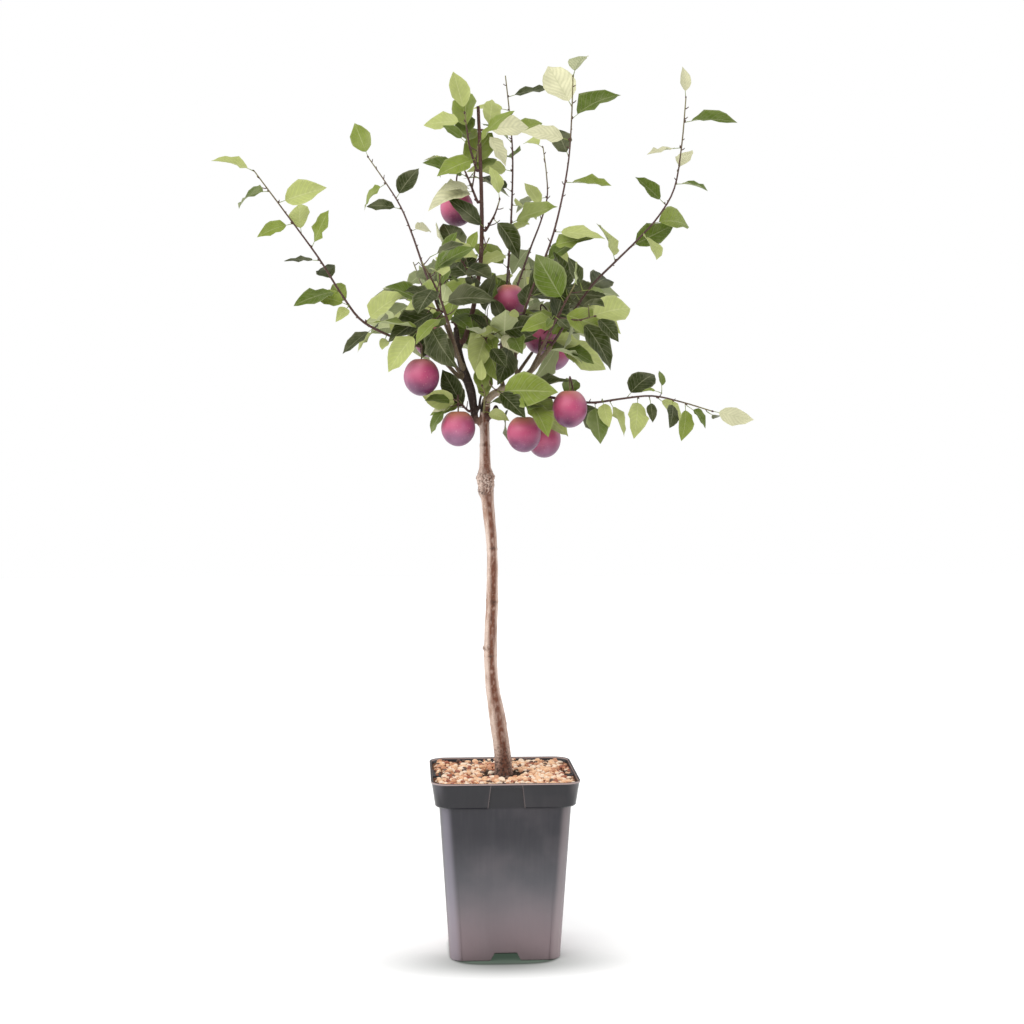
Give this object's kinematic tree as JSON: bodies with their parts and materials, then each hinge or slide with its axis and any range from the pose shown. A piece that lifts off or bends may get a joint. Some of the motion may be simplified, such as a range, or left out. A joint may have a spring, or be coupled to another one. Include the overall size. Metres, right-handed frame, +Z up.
{
  "type": "potted plum tree",
  "caption": "Young plum tree in fruit: a slender grafted trunk with a knobbed graft, a leafy open crown of long whips, and a square tapered nursery pot filled with soil and stones.",
  "frame": {"origin": "middle of the pot's flat underside, on the ground", "axes": "+Z up along the tree, -Y towards the front, +X to the front view's right"},
  "size_m": [0.7099, 0.4467, 1.2221],
  "materials": {
    "pot_plastic": "dusty dark grey-mauve moulded plastic with a faint sheen",
    "soil": "dark crumbly moist compost",
    "stones": "small loose stones in cream, tan and rust",
    "bark": "pinkish brown young bark with pale silvery edges and dark scars",
    "foliage": "green leaves with paler veined undersides, and bloomy magenta plums"
  },
  "bodies": {
    "root": {"pot": "pot_plastic", "growing_medium": "soil", "top_dressing": "stones", "trunk": "bark", "left_bough": "bark", "leader": "bark", "right_bough": "bark", "centre_bough": "bark", "upright_bough": "bark", "low_right_bough": "bark", "far_left_bough": "bark", "inner_left_bough": "bark", "back_left_bough": "bark", "back_right_bough": "bark", "front_left_bough": "bark", "front_right_bough": "bark", "centre_whip": "foliage", "upright_right_whip": "foliage", "arching_right_whip": "foliage", "back_whip": "foliage", "inner_left_whip": "foliage", "far_left_whip": "foliage", "low_right_whip": "foliage", "leader_top_spray": "foliage", "leader_left_twig": "foliage", "leader_upper_spray": "foliage", "leader_right_spray": "foliage", "leader_lower_spray": "foliage", "left_heart_spray": "foliage", "centre_heart_spray": "foliage", "right_heart_spray": "foliage", "fork_spray": "foliage", "low_left_spray": "foliage", "low_centre_spray": "foliage", "back_left_spray": "foliage", "back_right_spray": "foliage", "front_left_spray": "foliage", "front_right_spray": "foliage"}
  },
  "joints": []
}
